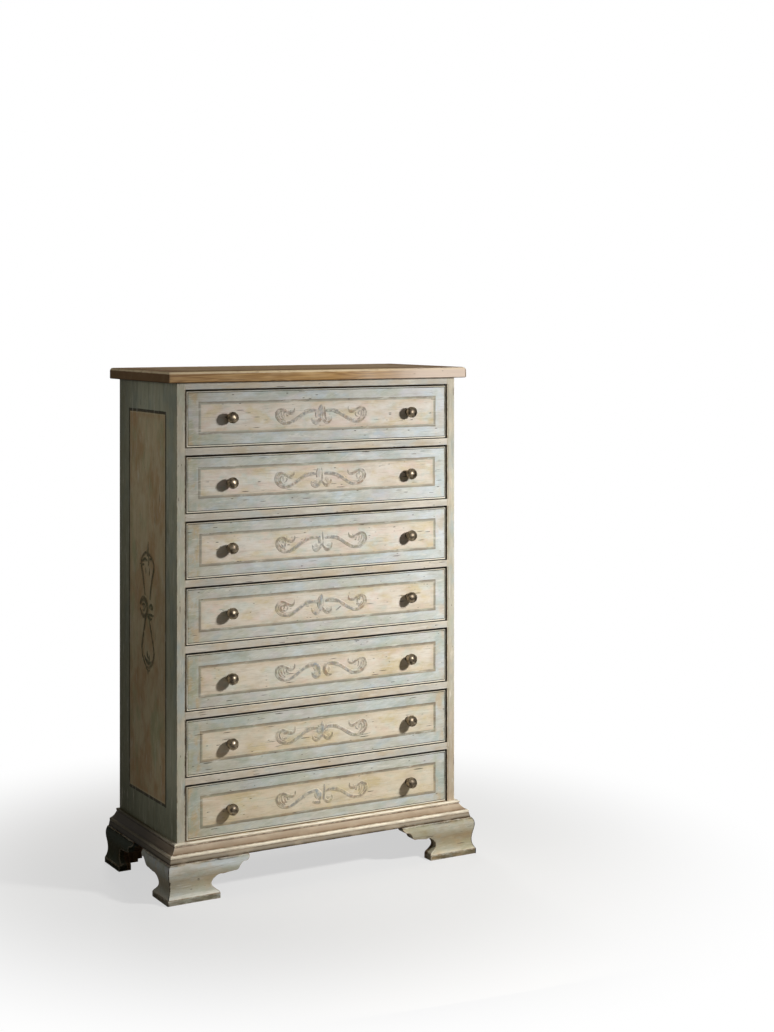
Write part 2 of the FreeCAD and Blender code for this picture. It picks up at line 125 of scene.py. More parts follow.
# One material
class Finish(NodeTree):
    def __init__(self, name, roughness=0.6, metallic=0.0, specular=0.3):
        self.material = bpy.data.materials.new(name)
        self.material.use_nodes = True
        super().__init__(self.material.node_tree)
        self.shader = self.tree.nodes["Principled BSDF"]
        sheen = {"Roughness": roughness, "Metallic": metallic, "Specular IOR Level": specular}
        for key, value in sheen.items():
            self.feed(self.shader.inputs[key], value)
        self.place = self.node("TexCoord", {}).outputs["Object"]
        split = self.node("SeparateXYZ", {0: self.place})
        self.x, self.y, self.z = (Measure(self, socket) for socket in split.outputs)

    def ramp(self, value, start, end, low=0.0, high=1.0):
        made = self.node("MapRange", {0: value, 1: start, 2: end, 3: low, 4: high},
                         interpolation_type="SMOOTHSTEP")
        return Measure(self, made.outputs[0])

    def mix(self, factor, first, second, blend="MIX"):
        made = self.node("Mix", {0: factor}, data_type="RGBA", blend_type=blend)
        self.feed(made.inputs[6], first)
        self.feed(made.inputs[7], second)
        return made.outputs[2]

    # a tone laid over a colour: none of it where the value is at start, the amount where it is at end
    def over(self, colour, tone, value, start, end, amount=1.0, blend="MIX"):
        return self.mix(self.ramp(value, start, end, 0.0, amount), colour, tone, blend)

    def attribute(self, name):
        return Measure(self, self.node("Attribute", {}, attribute_name=name).outputs["Fac"])

    # stretch is how often the pattern repeats per metre, one number or one each along X, Y and Z
    def stretched(self, stretch, shift=0.0):
        stretch = stretch if isinstance(stretch, tuple) else (stretch,) * 3
        shifts = (shift, shift * 0.7, shift * 1.3)
        return self.vectorCalc("MULTIPLY_ADD", self.place, stretch, shifts)

    def noiseAt(self, place, detail, roughness, distortion=0.0):
        made = self.node("TexNoise", {"Vector": place, "Scale": 1.0, "Detail": detail,
                                      "Roughness": roughness, "Distortion": distortion})
        return Measure(self, made.outputs["Fac"])

    def noise(self, stretch, detail=2.0, roughness=0.5, shift=0.0, distortion=0.0):
        return self.noiseAt(self.stretched(stretch, shift), detail, roughness, distortion)

    # noise that runs slanting across the front
    def slanted(self, turn, along, across, shift=0.0):
        lean = self.node("VectorRotate", {"Vector": self.place, "Angle": math.radians(turn)},
                         rotation_type="Y_AXIS")
        place = self.vectorCalc("MULTIPLY_ADD", lean.outputs[0], (along, along, across), (shift,) * 3)
        return self.noiseAt(place, 4.0, 0.65)

    # short dashes: one long thin fleck in some of the cells, more of them where the crowding noise is high
    def flecks(self, stretch, share, size, shift=0.0):
        shake = self.node("TexNoise", {"Vector": self.stretched(300, shift), "Scale": 1.0})
        nudge = self.vectorCalc("MULTIPLY", shake.outputs["Color"], (0.22, 0.22, 0.22))
        moved = self.vectorCalc("ADD", self.stretched(stretch, shift), nudge)
        cells = self.node("TexVoronoi", {"Vector": moved, "Scale": 1.0})
        chosen = self.node("SeparateColor", {0: cells.outputs["Color"]})
        crowded = self.ramp(self.noise(11, 2, 0.5, shift + 2), 0.4, 0.62, 0.25, 1.9)
        here = self.calc("LESS_THAN", chosen.outputs[0], crowded * share)
        reach = self.calc("MULTIPLY_ADD", chosen.outputs[1], size * 0.6, size * 0.5)
        inside = self.ramp(self.calc("DIVIDE", cells.outputs["Distance"], reach), 1.0, 0.45)
        return inside * here

    # one colour after another along a measure; each stop is (place, colour)
    def bands(self, value, stops):
        low, high = stops[0][0], stops[-1][0]
        share = self.node("MapRange", {0: value, 1: low, 2: high}).outputs[0]
        made = self.node("ValToRGB", {0: share})
        row = made.color_ramp.elements
        while len(row) < len(stops):
            row.new(0.5)
        for element, (place, colour) in zip(row, stops):
            element.position = (place - low) / (high - low)
            element.color = (*linear(colour), 1)
        return made.outputs[0]

    def finish(self, colour, roughness=None, height=None, depth=0.25 * mm):
        self.feed(self.shader.inputs["Base Color"], colour)
        if roughness is not None:
            self.feed(self.shader.inputs["Roughness"], roughness)
        if height is not None:
            bump = self.node("Bump", {"Height": height, "Distance": depth, "Strength": 1.0})
            self.feed(self.shader.inputs["Normal"], bump.outputs[0])
        return self.material


def added(name, data):
    thing = bpy.data.objects.new(name, data)
    bpy.context.scene.collection.objects.link(thing)
    return thing


def dress(node, material):
    for slot in nodes[node].material_slots:
        slot.link = "OBJECT"
        slot.material = material


# A finished shape as an object; its caller says what it rides on
def placed(name, shape, material):
    for face in shape.faces:
        face.smooth = True
    mesh = bpy.data.meshes.new(name)
    shape.to_mesh(mesh)
    shape.free()
    mesh.materials.append(material)
    return added(name, mesh)


# Distance from a board's arrises: the middle one of the three distances to its faces
def arrisDistance(paint, low, high):
    gaps = []
    for axis, value in enumerate((paint.x, paint.y, paint.z)):
        centre = (low[axis] + high[axis]) / 2
        half = (high[axis] - low[axis]) / 2
        gaps.append(half - abs(value - centre))
    nearest = paint.smaller(gaps[0], gaps[1])
    further = paint.larger(gaps[0], gaps[1])
    return paint.larger(nearest, paint.smaller(further, gaps[2]))


# Grain runs along one axis; these are its repeats per metre
def along(axis, fast, slow):
    stretch = [fast, fast, fast]
    stretch[axis] = slow
    return tuple(stretch)


paintLook = {
    "border": (197, 196, 187),
    "blue": (174, 190, 202),
    "sky": (200, 208, 212),
    "teal": (168, 180, 172),
    "sage": (176, 178, 154),
    "lilac": (202, 194, 196),
    "tan": (196, 174, 140),
    "mist": (196, 206, 198),
    "cream": (218, 207, 192),
    "pink": (222, 200, 188),
    "shell": (224, 219, 210),
    "straw": (208, 190, 146),
    "stripe": (158, 150, 132),
    "stripeBrown": (144, 122, 98),
    "umber": (60, 48, 36),
    "bareWood": (134, 112, 84),
    "wornArris": (128, 98, 66),
    "grain": (146, 134, 116),
    "glaze": (212, 203, 186),
    "chalk": (222, 218, 206),
    # The next two are painted shade toward the left end of the drawer borders and painted light toward their
    # right end
    "leftShade": (238, 226, 200),
    "bright": (224, 230, 234),
    # gap is the colour of the painted shade in and along the gaps
    "gap": (34, 26, 20),
    "dashes": 0.0085,            # share of the cells that hold a dash
    "dashStrength": 0.85,
    "dashDepth": 1.2,
}

# What ages the paint, one layer over another: repeats per metre across and along the grain, the noise's
# detail, roughness and shift, where the layer starts and is full, how strong it is, and its tone
paintLayers = {
    "mottle": (44, 16, 3, 0.5, 1, 0.4, 0.75, 0.36, "glaze"),
    "streak": (170, 26, 4, 0.65, 0, 0.5, 0.72, 0.28, "glaze"),
    "lines": (640, 34, 3, 0.6, 3, 0.56, 0.72, 0.3, "bareWood"),
    "threads": (460, 7, 3, 0.6, 5, 0.6, 0.7, 0.38, "grain"),
    "speckle": (260, 260, 3, 0.7, 6, 0.6, 0.76, 0.26, "bareWood"),
    "rubbed": (120, 18, 5, 0.7, 8, 0.54, 0.7, 0.5, "chalk"),
}


def tones(*names):
    return [paintLook[name] for name in names]


def agedPaint(paint, ground, axis, seed, dashShare=paintLook["dashes"]):
    colour = ground
    pattern, share = {}, {}
    for layer, (fast, slow, detail, roughness, shift, start, end, amount, tone) in paintLayers.items():
        pattern[layer] = paint.noise(along(axis, fast, slow), detail, roughness, seed + shift)
        share[layer] = paint.ramp(pattern[layer], start, end, 0.0, amount)
        colour = paint.mix(share[layer], colour, paintLook[tone], "MULTIPLY" if tone == "glaze" else "MIX")
    dashes = paint.larger(paint.flecks(along(axis, 560, 42), dashShare, 0.8, seed),
                          paint.flecks(along(axis, 480, 110), dashShare * 1.2, 0.6, seed + 4))
    colour = paint.mix(dashes * paintLook["dashStrength"], colour, paintLook["umber"])
    height = pattern["streak"] * 0.6 + pattern["mottle"] * 0.4 - share["lines"]
    return colour, height - dashes * paintLook["dashDepth"]


def tonePatches(paint, base, patchTones, axis, seed, size=14.0, amount=0.6):
    colour = base
    for index, tone in enumerate(patchTones):
        cloud = paint.noise(along(axis, size * 1.4, size * 0.8), 4, 0.6, seed + 11 * index)
        colour = paint.over(colour, tone, cloud, 0.48, 0.66, amount)
    return colour


# Where the finish is rubbed through along an arris; each row of wear is a width, seed, tone and amount
def wornArris(paint, colour, edge, seed, wear):
    for width, shift, tone, amount in wear:
        ragged = paint.noise(60, 3, 0.7, seed + shift) * (3.2 * width) - 1.6 * width
        colour = paint.over(colour, tone, edge + ragged, width, 0.2 * width, amount)
    return colour


# Unpainted wood

woods = {
    "bare": ((196, 168, 126), (150, 114, 76)),          # its light and its dark tone
    # This row is bare wood darkened as painted shade, for the inner faces of the feet and their glue blocks
    "shadedBare": ((120, 98, 72), (84, 66, 48)),            # behind the feet
    "backPanel": ((184, 150, 108), (160, 124, 84)),
    "drawerBottom": ((214, 188, 146), (182, 150, 108)),
}


def rawWood(paint, axis, seed, wood="bare"):
    rings = paint.noise(along(axis, 34, 1.6), 2, 0.5, seed, 0.4)
    lines = paint.calc("SINE", rings * 70.0)
    fibre = paint.noise(along(axis, 900, 16), 2, 0.6, seed + 2)
    tone = lines * 0.22 + fibre * 0.9
    light, dark = woods[wood]
    return paint.over(light, dark, tone, 0.15, 0.8), tone


def rawFinish(name, axis, seed, wood="bare"):
    paint = Finish(name, 0.7, specular=0.25)
    colour, height = rawWood(paint, axis, seed, wood)
    return paint.finish(colour, height=height, depth=0.12 * mm)


# Fronts of the drawers

frontLook = {
    "stripeWidth": 6.6 * mm,
    "stripeSoftness": 0.9 * mm,
    "endTones": (318 * mm, 334 * mm),    # from the middle to where the border's ends change tone
    "knobDrop": 65 * mm,         # from the top of the front to the middle of the stripe
    "bead": 3.2 * mm,
    "quirk": 4.7 * mm,
    "quirkStrength": (0.95, 0.1, 0.05, 0.35, 0.05, 0.15, 0.4),   # how dark the groove inside the bead is
    "quirkTone": (70, 56, 42),
    "beadTone": (206, 196, 172),
    "beadTints": ((176, 152, 120), (220, 214, 200)),
    "lowerBeadHighlight": (238, 228, 206),
    # widths of the painted shade along the gaps of a front
    "gapAbove": 1.1 * mm,        # widths of the dark lines at the gaps
    "gapRight": 2.2 * mm,
    "gapLeft": 0.9 * mm,
}

# The painted stripe of each drawer: its middle, then its half width and half height, in millimetres
stripes = [
    (0.5, -0.2, 327.5, 35.8), (-1.0, 1.8, 327.0, 34.2), (1.5, -1.4, 326.5, 36.4), (0.5, -1.4, 327.5, 36.4),
    (0.5, -2.8, 327.5, 35.2), (2.2, -1.4, 325.8, 34.6), (2.5, -0.4, 325.5, 36.4)]


def frontSeed(number):
    return 7.3 * number


def boxDistance(paint, across, up, halfWidth, halfHeight):
    return paint.larger(abs(across) - halfWidth, abs(up) - halfHeight)


def wobble(paint, value, seed, amount=1.1 * mm, stretch=45):
    shake = paint.noise(stretch, 2, 0.5, seed)
    return (shake - 0.5) * (2 * amount) + value


# distance is below 0 inside the stripe; the last argument runs from 0 on the top drawer to 1 on the lowest:
# lower drawers get more straw and sage, upper ones a paler stripe and more painted light at the right
def panelColours(paint, distance, seed, lowness):
    look = paintLook
    field = tonePatches(paint, look["cream"], tones("pink", "mist", "straw", "shell"), 0, seed, 20, 0.65)
    field = paint.mix(0.4 * lowness ** 2, field, look["straw"])
    field = paint.over(field, look["tan"], distance, -18 * mm, -2 * mm, 0.35)
    cool = tones("blue", "sage", "lilac", "teal", "sky")
    border = tonePatches(paint, look["border"], cool, 0, seed + 40, 18, 0.6)
    border = paint.mix(0.25 * lowness, border, look["sage"])
    ends = tonePatches(paint, border, tones("sage", "teal", "tan"), 2, seed + 60, 22, 0.75)
    border = paint.over(border, ends, abs(paint.x), *frontLook["endTones"])
    border = paint.over(border, look["chalk"], paint.slanted(24, 24, 420, seed), 0.52, 0.68, 0.34)
    # Painted shade: the border darkens toward its left end
    border = paint.over(border, look["leftShade"], paint.x, -0.12, -0.36, 0.35, "MULTIPLY")
    # Painted light: the border brightens toward its right end, most on the top drawer and not at all on the
    # lowest
    border = paint.over(border, look["bright"], paint.x, 0.16, 0.36, 0.45 * (1 - lowness))
    band = tonePatches(paint, look["stripe"], tones("stripeBrown", "sage", "tan"), 0, seed + 80, 22)
    band = paint.mix(0.35 * (1 - lowness), band, look["border"])
    half = frontLook["stripeWidth"] / 2
    soft = frontLook["stripeSoftness"]
    band = paint.over(band, look["umber"], distance, -half, half, 0.35)
    colour = paint.over(field, band, distance, -half - soft, -half + soft)
    return paint.over(colour, border, distance, half - 0.5 * soft, half + 0.5 * soft)


def frontGround(paint, number):
    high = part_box(f"drawer_{number}_front")[1]
    seed = frontSeed(number)
    across, up, halfWidth, halfHeight = (size * mm for size in stripes[number - 1])
    fromMiddle = wobble(paint, paint.x - across, seed)
    level = wobble(paint, paint.z - (high.z - frontLook["knobDrop"] + up), seed + 5)
    distance = boxDistance(paint, fromMiddle, level, halfWidth, halfHeight)
    return panelColours(paint, distance, seed, (number - 1) / (len(stripes) - 1))


# Painted shade: a dark line along the edge of a gap
def gapShade(paint, colour, distance, width, seed):
    ragged = wobble(paint, distance, seed + 13, 0.35 * mm, 70)
    return paint.over(colour, paintLook["gap"], ragged, 1.3 * width, 0.7 * width, 0.88)


# Painted shade: behind its face a front board is dark for the first millimetres seen through the gaps, then
# bare
def edgeShade(paint, colour, face, axis, seed):
    depth = wobble(paint, paint.y - face, seed, 0.25 * mm, 90)
    colour = paint.over(colour, paintLook["gap"], depth, 0.25 * mm, 0.7 * mm)
    return paint.over(colour, rawWood(paint, axis, seed)[0], depth, 14 * mm, 17 * mm)


def frontFinish(number):
    low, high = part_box(f"drawer_{number}_front")
    seed = frontSeed(number)
    look = frontLook
    paint = Finish(f"paintedFront{number}", specular=0.22)
    colour, height = agedPaint(paint, frontGround(paint, number), 0, seed)
    across = high.x - abs(paint.x)
    level = paint.z - (low.z + high.z) / 2
    upward = (high.z - low.z) / 2 - abs(level)
    edge = wobble(paint, paint.smaller(across, upward), seed + 20, 0.25 * mm, 90)
    # Painted highlight: the bead is paler and shows more along the bottom of the front
    lowerHighlight = paint.ramp(level, 0.0, -10 * mm, 0.0, 0.8)
    bead = tonePatches(paint, look["beadTone"], look["beadTints"], 0, seed + 9, 30)
    bead = paint.mix(lowerHighlight, bead, look["lowerBeadHighlight"])
    onBead = paint.ramp(edge, look["bead"] + 0.2 * mm, look["bead"] - 0.2 * mm)
    patchy = paint.ramp(paint.noise(7, 2, 0.5, seed + 31), 0.38, 0.62)
    shown = paint.larger(paint.ramp(patchy, 0.0, 1.0, 0.35, 0.9), lowerHighlight)
    colour = paint.mix(onBead * shown, colour, bead)
    inner = paint.ramp(edge, look["bead"] - 0.2 * mm, look["bead"] + 0.2 * mm)
    groove = inner * paint.ramp(edge, look["quirk"] + 0.5 * mm, look["quirk"] - 0.3 * mm)
    strength = look["quirkStrength"][number - 1]
    faint = paint.ramp(patchy, 0.0, 1.0, 0.5 * strength, 0.15 + 0.8 * strength)
    colour = paint.mix(groove * faint, colour, look["quirkTone"])
    colour = gapShade(paint, colour, high.z - paint.z, look["gapAbove"], seed)
    colour = gapShade(paint, colour, high.x - paint.x, look["gapRight"], seed + 2)
    colour = gapShade(paint, colour, paint.x - low.x, look["gapLeft"], seed + 4)
    return paint.finish(edgeShade(paint, colour, low.y, 0, seed), height=height)


# Case: stiles, rails, sides

railLook = {
    "ground": (198, 190, 176),
    "tints": ((212, 200, 182), (178, 184, 180), paintLook["tan"]),
    # The first row of wear is a painted highlight along the upper arris, the second real wear
    "wear": ((2.6 * mm, 0, (226, 216, 196), 0.75), (0.7 * mm, 7, paintLook["wornArris"], 0.45)),
    "gapBelow": 1 * mm,
}

sideLook = {
    "borderFront": 67 * mm,        # from the front edge of the side to the stripe
    "borderBack": 66.7 * mm,
    "stripeBottom": 205 * mm,
    "stripeTop": 1148 * mm,
    "stripeWidth": 7.4 * mm,
    "stripe": (50, 48, 32),
    "stripeLight": (216, 204, 168),
    "border": (182, 183, 160),
    "borderTints": (paintLook["sage"], (156, 166, 156)),
    "borderRearShade": (104, 104, 82),
    "borderStreaks": (112, 120, 104),
    "borderLowShade": (92, 98, 78),
    "field": (208, 192, 156),
    "fieldBrown": (188, 154, 112),
    "fieldTints": ((188, 154, 112), (180, 180, 140), (188, 154, 112)),
    "stile": (188, 182, 164),
    "stileTints": ((166, 178, 178), (208, 194, 170), paintLook["sage"]),
    "stileBrown": (184, 164, 140),      # low on the right stile
    "openingShadeBrown": (120, 100, 74),
    "openingShadeLine": 2 * mm,
    "lowestOpening": 132 * mm,          # its lower edge
    "wear": ((2.2 * mm, 0, (214, 204, 180), 0.6), (1.2 * mm, 7, paintLook["wornArris"], 0.7)),
    "seeds": {"left": 12.0, "right": 25.0},
}


def railFinish(name, node, seed):
    low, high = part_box(node)
    paint = Finish(name, specular=0.22)
    ground = tonePatches(paint, railLook["ground"], railLook["tints"], 0, seed, 14, 0.55)
    colour, height = agedPaint(paint, ground, 0, seed)
    colour = wornArris(paint, colour, high.z - paint.z, seed, railLook["wear"])
    colour = gapShade(paint, colour, paint.z - low.z, railLook["gapBelow"], seed)
    return paint.finish(edgeShade(paint, colour, low.y, 0, seed), height=height)


def sideGround(paint, seed, low, high):
    look = sideLook
    front, back = low.y + look["borderFront"], high.y - look["borderBack"]
    top, bottom = look["stripeTop"], look["stripeBottom"]
    across = wobble(paint, paint.y - (front + back) / 2, seed)
    up = wobble(paint, paint.z - (top + bottom) / 2, seed + 5)
    distance = boxDistance(paint, across, up, (back - front) / 2, (top - bottom) / 2)
    away = abs(distance)
    field = tonePatches(paint, look["field"], look["fieldTints"], 2, seed, 9, 0.8)
    field = paint.over(field, look["fieldBrown"], away, 26 * mm, 5 * mm, 0.4)
    border = tonePatches(paint, look["border"], look["borderTints"], 2, seed + 40, 10)
    # Painted shade: the border darkens toward the back of the side
    border = paint.over(border, look["borderRearShade"], paint.y, 0.02, high.y, 0.65)
    upright = paint.noise(along(2, 60, 6), 3, 0.6, seed + 15)
    border = paint.over(border, look["borderStreaks"], upright, 0.46, 0.7, 0.35)
    # Painted shade: the border darkens toward the floor
    border = paint.over(border, look["borderLowShade"], paint.z, 320 * mm, 140 * mm, 0.55)
    line = look["stripeWidth"] / 2
    field = paint.over(field, look["stripeLight"], distance, -line - 4.5 * mm, -line - 1 * mm, 0.5)
    colour = paint.over(field, border, distance, -0.6 * mm, 0.6 * mm)
    return paint.over(colour, look["stripe"], away, line + 0.8 * mm, line - 0.8 * mm, 0.92)


# Painted shade: the stile is dark where a drawer opening meets it, and clean where a rail does
def openingShadeLine(paint, colour, low, high, seed):
    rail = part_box("divider_rail_1")
    pitch = rail[0].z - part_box("divider_rail_2")[0].z
    turn = paint.calc("FRACT", paint.calc("DIVIDE", paint.z - (rail[1].z - 2 * pitch), pitch))
    opening = paint.calc("LESS_THAN", turn, 1 - (rail[1].z - rail[0].z) / pitch)
    opening = opening * paint.calc("GREATER_THAN", paint.z, sideLook["lowestOpening"])
    if high.x < 0:
        dark = gapShade(paint, colour, high.x - paint.x, sideLook["openingShadeLine"], seed)
    else:
        dark = paint.over(colour, sideLook["openingShadeBrown"], paint.x - low.x, 8 * mm, 1 * mm, 0.5)
    return paint.mix(opening, colour, dark)


def sideFinish(node, seed):
    low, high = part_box(node)
    look = sideLook
    outside = low.x if high.x < 0 else high.x
    paint = Finish(f"{node}Paint", specular=0.2)
    colour, height = agedPaint(paint, sideGround(paint, seed, low, high), 2, seed, 0.004)
    stile = tonePatches(paint, look["stile"], look["stileTints"], 2, seed + 70, 14, 0.65)
    if high.x > 0:
        stile = paint.over(stile, look["stileBrown"], wobble(paint, paint.z, seed, 0.06, 9), 0.55, 0.15, 0.75)
    stile = openingShadeLine(paint, agedPaint(paint, stile, 2, seed + 70)[0], low, high, seed)
    colour = paint.over(colour, stile, paint.y, low.y + 1.4 * mm, low.y + 0.6 * mm)
    colour = wornArris(paint, colour, arrisDistance(paint, low, high), seed, look["wear"])
    away = abs(paint.x - outside)
    # Painted shade on the inner face near the front, then bare wood
    colour = paint.over(colour, edgeShade(paint, colour, low.y, 2, seed), away, 1.5 * mm, 2.5 * mm)
    return paint.finish(colour, height=height)


# Pieces with eased arrises: a merged copy of the CAD mesh, bevelled, cut fine enough to carry its wear

wearLook = {
    "ease": 0.9 * mm,        # width of the bevel
    "sharp": 26,             # edges that turn by more degrees than this are arrises
    "flat": 0.8,             # and by fewer than this are no edges at all
    "merge": 0.01 * mm,
    "spacing": 6 * mm,       # between the cuts
    "arrisStep": 1.5 * mm,   # between the points that wear is measured from
    "dent": 0.35 * mm,       # deepest wear along an arris
    "dentReach": 3.5 * mm,
    "dentStretch": 70,       # dents per metre
    "dentShare": 0.25,       # 0 leaves half of an arris unworn
}


def sharpEdges(shape):
    return [edge for edge in shape.edges
            if edge.is_manifold and edge.calc_face_angle(0) > math.radians(wearLook["sharp"])]


def arrisPoints(edges):
    points = []
    for edge in edges:
        first, last = (vertex.co.copy() for vertex in edge.verts)
        count = max(1, int((last - first).length / wearLook["arrisStep"]))
        points += [first.lerp(last, index / count) for index in range(count + 1)]
    tree = KDTree(len(points))
    for index, point in enumerate(points):
        tree.insert(point, index)
    tree.balance()
    return tree


def cutFine(shape, low, high):
    for axis, normal in enumerate(Matrix.Identity(3)):
        count = int((high[axis] - low[axis]) / wearLook["spacing"])
        for index in range(1, count + 1):
            place = low + (high - low) * index / (count + 1)
            everything = shape.verts[:] + shape.edges[:] + shape.faces[:]
            bmesh.ops.bisect_plane(shape, geom=everything, plane_co=place, plane_no=normal)


# Each point keeps its distance from the arrises, for the finish
def wearArrises(shape, arrises, seed):
    layer = shape.verts.layers.float.new("edge")
    shape.normal_update()
    moves = []
    for vertex in shape.verts:
        distance = arrises.find(vertex.co)[2]
        vertex[layer] = distance
        near = max(0.0, 1 - distance / wearLook["dentReach"])
        rough = noise.noise(vertex.co * wearLook["dentStretch"] + Vector((seed, 0, 0)))
        bite = max(0.0, rough + wearLook["dentShare"])
        moves.append(vertex.normal * (-wearLook["dent"] * near * bite))
    for vertex, move in zip(shape.verts, moves):
        vertex.co += move


def easedCopy(node, body, material, seed):
    low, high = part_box(node)
    shape = bmesh.new()
    shape.from_mesh(nodes[node].data)
    bmesh.ops.remove_doubles(shape, verts=shape.verts, dist=wearLook["merge"])
    bmesh.ops.dissolve_limit(shape, angle_limit=math.radians(wearLook["flat"]), verts=shape.verts,
                             edges=shape.edges)
    sharp = sharpEdges(shape)
    arrises = arrisPoints(sharp)
    bmesh.ops.bevel(shape, geom=sharp, offset=wearLook["ease"], offset_type="OFFSET", affect="EDGES",
                    segments=2, profile=0.5, material=-1, clamp_overlap=True)
    cutFine(shape, low, high)
    bmesh.ops.remove_doubles(shape, verts=shape.verts, dist=wearLook["merge"])
    wearArrises(shape, arrises, seed)
    for vertex in shape.verts:
        vertex.co = Vector(max(lowest, min(highest, value))
                           for value, lowest, highest in zip(vertex.co, low, high))
    bmesh.ops.triangulate(shape, faces=shape.faces)
    piece = placed(f"{node}_worn", shape, material)
    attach(piece, body)
    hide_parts(node)


# Top board and base moulding: brown stain, waxed and rubbed, with painted light and painted shade over it

stainLook = {
    "brown": (192, 152, 98),
    "deep": (142, 104, 62),
    "pale": (214, 182, 138),
    # edge is the colour of the painted highlight along the upper arris
    "edge": (252, 230, 190),
    "rubbedAndLit": (224, 206, 190),
    "endGrain": (104, 80, 52),
    "lowerEdgeShade": (66, 46, 30),
    "dent": (70, 48, 30),
    "arris": 6.2 * mm,           # how far the painted highlight reaches round the upper edge
}


def stainedWood(paint, axis, seed):
    rings = paint.noise(along(axis, 46, 2.2), 3, 0.55, seed, 0.5)
    lines = paint.calc("SINE", rings * 60.0)
    fibre = paint.noise(along(axis, 760, 14), 2, 0.6, seed + 2)
    tone = lines * 0.2 + fibre * 0.9
    colour = paint.over(stainLook["brown"], stainLook["deep"], tone, 0.1, 0.85)
    pale = paint.noise(along(axis, 20, 5), 3, 0.6, seed + 5)
    return paint.over(colour, stainLook["pale"], pale, 0.46, 0.66, 0.55), tone


# Small dark dents in the stained wood, the last thing on it
def dentedFinish(paint, colour, height, axis, share, tone, seed):
    dents = paint.flecks(along(axis, 460, 50), share, 0.48, seed)
    colour = paint.mix(dents * 0.7, colour, tone)
    return paint.finish(colour, height=height - dents, depth=0.15 * mm)


def topFinish():
    low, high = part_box("top_board")
    look = stainLook
    paint = Finish("waxedTop", 0.55, specular=0.12)
    colour, height = stainedWood(paint, 0, 3.0)
    # Wear and painted light: the front of the top turns paler toward its right end
    rubbedAndLit = paint.ramp(wobble(paint, paint.x, 5.0, 0.1, 12), 0.04, 0.3, 0.0, 0.85)
    onFront = paint.ramp(paint.y, low.y + 30 * mm, low.y + 2 * mm, 0.35, 1.0)
    colour = paint.mix(rubbedAndLit * onFront, colour, look["rubbedAndLit"])
    # Painted light: the upper face is paler
    colour = paint.over(colour, look["pale"], paint.z, high.z - 1 * mm, high.z - 0.3 * mm, 0.45)
    reach = high.x - abs(paint.x)
    colour = paint.over(colour, look["endGrain"], reach, 5 * mm, 1 * mm, 0.85)
    outer = paint.smaller(reach, paint.y - low.y)
    flat = paint.ramp(paint.z, high.z - 0.9 * mm, high.z - 0.4 * mm)
    darkened = paint.ramp(wobble(paint, outer, 9.0, 12 * mm, 14), 110 * mm, 10 * mm, 0.0, 0.75)
    colour = paint.mix(darkened * flat, colour, look["deep"])
    # Painted highlight: a pale line along the upper arris, broken in places
    turn = wobble(paint, outer + (high.z - paint.z), 6.0, 0.5 * mm, 50)
    line = paint.ramp(turn, look["arris"] + 0.8 * mm, look["arris"] - 0.8 * mm, 0.0, 0.85)
    line = line * paint.ramp(paint.z, high.z - 0.7 * mm, high.z - 1.6 * mm)
    line = line * paint.ramp(rubbedAndLit, 0.0, 0.85, 1.0, 0.4)
    patchy = paint.ramp(paint.noise(30, 3, 0.6, 8.0), 0.25, 0.5, 0.45, 1.0)
    colour = paint.mix(line * patchy, colour, look["edge"])
    # Painted shade along the lower edge
    level = wobble(paint, paint.z, 7.0, 0.8 * mm, 60)
    colour = paint.over(colour, look["lowerEdgeShade"], level, low.z + 3 * mm, low.z + 0.8 * mm, 0.75)
    return dentedFinish(paint, colour, height, 0, 0.014, look["dent"], 9.0)


mouldingLook = {
    # The dark lines at the foot, beside the lip and under the bead are painted shade, and the pale lip and
    # bead painted highlights
    "bands": [                   # from its bottom edge to the top of its bead, by height in millimetres
        (0, (30, 24, 18)), (2, (44, 36, 28)), (3.2, (112, 104, 90)), (7, (152, 144, 129)),
        (10.5, (144, 134, 117)), (12.2, (80, 64, 48)), (13.2, (244, 234, 212)),
        (18, (248, 238, 216)), (19.4, (104, 80, 58)), (22.5, (154, 136, 114)),
        (31.5, (184, 167, 146)), (33.6, (96, 72, 52)), (35, (34, 26, 18)),
        (36, (222, 208, 184)), (40.5, (246, 238, 218))],
    "stainShare": 0.08,
    "wear": ((1.2 * mm, 0, (240, 230, 208), 0.85),),
    "tints": ((200, 182, 156), (140, 122, 98)),
    "sideShade": (96, 92, 74),
}


def mouldingFinish(node, axis, seed):
    low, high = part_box(node)
    look = mouldingLook
    paint = Finish(f"{node}Stain", 0.48, specular=0.25)
    stain, height = stainedWood(paint, axis, seed)
    level = wobble(paint, paint.z - low.z, seed, 0.3 * mm, 70)
    colour = paint.bands(level, [(place * mm, tone) for place, tone in look["bands"]])
    colour = paint.mix(look["stainShare"], colour, stain)
    rubbed = wornArris(paint, colour, paint.attribute("edge"), seed, look["wear"])
    colour = paint.over(colour, rubbed, level, 11 * mm, 13 * mm)
    colour = tonePatches(paint, colour, look["tints"], axis, seed + 6, 24, 0.3)
    # Painted shade: the side mouldings darken toward the back
    if axis == 1:
        darkened = paint.ramp(paint.y, low.y, low.y + 0.22, 0.26, 1.0)
        colour = paint.mix(darkened, colour, look["sideShade"], "MULTIPLY")
    return dentedFinish(paint, colour, height, axis, 0.02, paintLook["umber"], seed)


# Bracket feet

